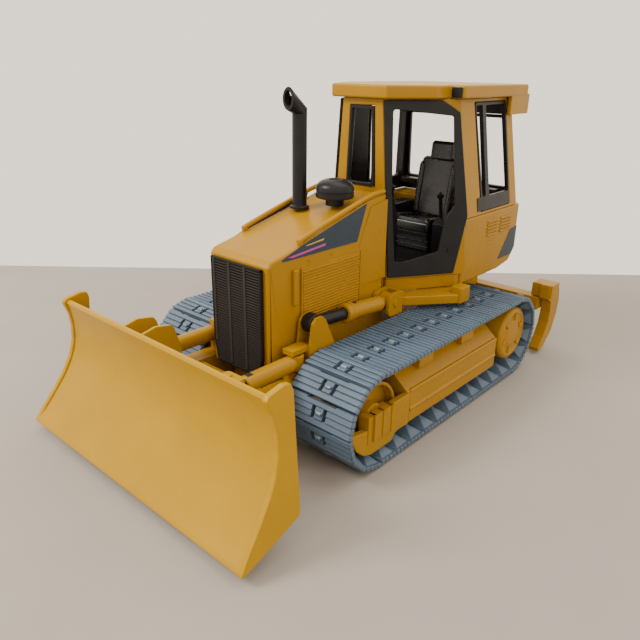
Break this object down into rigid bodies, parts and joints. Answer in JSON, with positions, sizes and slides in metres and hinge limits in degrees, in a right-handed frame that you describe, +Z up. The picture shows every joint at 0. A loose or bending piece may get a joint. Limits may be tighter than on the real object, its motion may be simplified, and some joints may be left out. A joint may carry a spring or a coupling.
{
  "type": "toy bulldozer",
  "caption": "Yellow plastic toy bulldozer with a curved angling front blade on a lifting push frame, open cab with seat, ribbed tracks and a rear ripper.",
  "frame": {"origin": "centre of the overall box, at the ground under the tracks", "axes": "-Y forward towards the blade, +X the machine's left side, +Z up"},
  "size_m": [0.196, 0.358, 0.2055],
  "materials": {
    "yellow_plastic": "satin moulded plastic",
    "black_plastic": "satin moulded plastic",
    "track_plastic": "matt flexible plastic",
    "grille_plastic": "matt moulded plastic",
    "decal_film": "printed film, no lettering"
  },
  "bodies": {
    "machine": {"main_frame": "yellow_plastic", "hood_shell": "yellow_plastic", "radiator_grille": "grille_plastic", "hood_rail_left": "yellow_plastic", "hood_rail_right": "yellow_plastic", "louvre_panel_left": "yellow_plastic", "louvre_panel_right": "yellow_plastic", "hood_decal_left": "decal_film", "hood_decal_right": "decal_film", "exhaust_stack": "black_plastic", "air_cleaner": "black_plastic", "cab_shell": "yellow_plastic", "cab_base": "yellow_plastic", "rear_body": "yellow_plastic", "cab_roof": "yellow_plastic", "front_window_frame": "black_plastic", "rear_window_frame": "black_plastic", "side_window_frame_left": "black_plastic", "side_window_frame_right": "black_plastic", "cab_floor": "black_plastic", "seat_base": "black_plastic", "seat_cushion": "black_plastic", "seat_back": "black_plastic", "work_light_left": "black_plastic", "work_light_right": "black_plastic", "rear_decal_left": "decal_film", "rear_decal_right": "decal_film", "step_left": "yellow_plastic", "step_right": "yellow_plastic", "lift_bracket_left": "yellow_plastic", "lift_bracket_right": "yellow_plastic", "track_belt_left": "track_plastic", "track_belt_right": "track_plastic", "track_frame_left": "yellow_plastic", "track_frame_right": "yellow_plastic"},
    "push_frame": {"push_frame": "yellow_plastic"},
    "blade": {"blade": "yellow_plastic"},
    "ripper": {"ripper_frame": "yellow_plastic", "ripper_shank_left": "yellow_plastic", "ripper_shank_right": "yellow_plastic", "ripper_shank_center": "yellow_plastic"},
    "lift_barrel_left": {"lift_barrel_left": "yellow_plastic"},
    "lift_rod_left": {"lift_rod_left": "black_plastic"},
    "angle_barrel_left": {"angle_barrel_left": "yellow_plastic"},
    "angle_rod_left": {"angle_rod_left": "black_plastic"},
    "sprocket_left": {"sprocket_drum_left": "yellow_plastic"},
    "idler_left": {"idler_left": "yellow_plastic"},
    "door_left": {"cab_door_left": "black_plastic"},
    "lift_barrel_right": {"lift_barrel_right": "yellow_plastic"},
    "lift_rod_right": {"lift_rod_right": "black_plastic"},
    "angle_barrel_right": {"angle_barrel_right": "yellow_plastic"},
    "angle_rod_right": {"angle_rod_right": "black_plastic"},
    "sprocket_right": {"sprocket_drum_right": "yellow_plastic"},
    "idler_right": {"idler_right": "yellow_plastic"},
    "door_right": {"cab_door_right": "black_plastic"}
  },
  "joints": [
    {"name": "blade_lift", "type": "hinge", "parent": "machine", "child": "push_frame", "pos_m": [0, 0.03, 0.032], "axis": [-1, 0, 0], "range_deg": [-1.5, 12]},
    {"name": "blade_angle", "type": "hinge", "parent": "push_frame", "child": "blade", "pos_m": [0, -0.119, 0.035], "axis": [0, 0, 1], "range_deg": [-8, 8]},
    {"name": "ripper_lift", "type": "hinge", "parent": "machine", "child": "ripper", "pos_m": [0, 0.142, 0.052], "axis": [1, 0, 0], "range_deg": [0, 25]},
    {"name": "lift_barrel_pivot_left", "type": "hinge", "parent": "machine", "child": "lift_barrel_left", "pos_m": [0.033, 0.011, 0.0695], "axis": [-1, 0, 0], "range_deg": [-2.2, 16.6]},
    {"name": "lift_rod_slide_left", "type": "slide", "parent": "lift_barrel_left", "child": "lift_rod_left", "axis": [0, -0.9968, 0.0797], "range_m": [-0.0072, 0.001]},
    {"name": "angle_barrel_pivot_left", "type": "hinge", "parent": "push_frame", "child": "angle_barrel_left", "pos_m": [0.0346, -0.079, 0.056], "axis": [0, 0, 1], "range_deg": [-1.8, 1.8]},
    {"name": "angle_rod_slide_left", "type": "slide", "parent": "angle_barrel_left", "child": "angle_rod_left", "axis": [0, -1, 0], "range_m": [-0.005, 0.005]},
    {"name": "sprocket_spin_left", "type": "hinge", "parent": "machine", "child": "sprocket_left", "pos_m": [0.065, 0.101, 0.033], "axis": [1, 0, 0], "continuous": true},
    {"name": "idler_spin_left", "type": "hinge", "parent": "machine", "child": "idler_left", "pos_m": [0.065, -0.063, 0.031], "axis": [1, 0, 0], "continuous": true},
    {"name": "door_hinge_left", "type": "hinge", "parent": "machine", "child": "door_left", "pos_m": [0.0215, 0.0183, 0.13917], "axis": [0.077, 0.0156, -0.9969], "range_deg": [0, 75]},
    {"name": "lift_barrel_pivot_right", "type": "hinge", "parent": "machine", "child": "lift_barrel_right", "pos_m": [-0.033, 0.011, 0.0695], "axis": [-1, 0, 0], "range_deg": [-2.2, 16.6]},
    {"name": "lift_rod_slide_right", "type": "slide", "parent": "lift_barrel_right", "child": "lift_rod_right", "axis": [0, -0.9968, 0.0797], "range_m": [-0.0072, 0.001]},
    {"name": "angle_barrel_pivot_right", "type": "hinge", "parent": "push_frame", "child": "angle_barrel_right", "pos_m": [-0.0346, -0.079, 0.056], "axis": [0, 0, 1], "range_deg": [-1.8, 1.8]},
    {"name": "angle_rod_slide_right", "type": "slide", "parent": "angle_barrel_right", "child": "angle_rod_right", "axis": [0, -1, 0], "range_m": [-0.005, 0.005]},
    {"name": "sprocket_spin_right", "type": "hinge", "parent": "machine", "child": "sprocket_right", "pos_m": [-0.065, 0.101, 0.033], "axis": [1, 0, 0], "continuous": true},
    {"name": "idler_spin_right", "type": "hinge", "parent": "machine", "child": "idler_right", "pos_m": [-0.065, -0.063, 0.031], "axis": [1, 0, 0], "continuous": true},
    {"name": "door_hinge_right", "type": "hinge", "parent": "machine", "child": "door_right", "pos_m": [-0.0215, 0.0183, 0.13917], "axis": [0.077, -0.0156, 0.9969], "range_deg": [0, 75]}
  ],
  "couplings": [
    {"joint": "lift_barrel_pivot_left", "follows": "blade_lift", "ratio": 1.354},
    {"joint": "lift_rod_slide_left", "follows": "blade_lift", "m_per_rad": -0.0332},
    {"joint": "angle_barrel_pivot_left", "follows": "blade_angle", "ratio": 0.2137},
    {"joint": "angle_rod_slide_left", "follows": "blade_angle", "m_per_rad": -0.03456},
    {"joint": "idler_spin_left", "follows": "sprocket_spin_left", "ratio": 0.923},
    {"joint": "lift_barrel_pivot_right", "follows": "blade_lift", "ratio": 1.354},
    {"joint": "lift_rod_slide_right", "follows": "blade_lift", "m_per_rad": -0.0332},
    {"joint": "angle_barrel_pivot_right", "follows": "blade_angle", "ratio": 0.2137},
    {"joint": "angle_rod_slide_right", "follows": "blade_angle", "m_per_rad": 0.03456},
    {"joint": "idler_spin_right", "follows": "sprocket_spin_right", "ratio": 0.923}
  ]
}
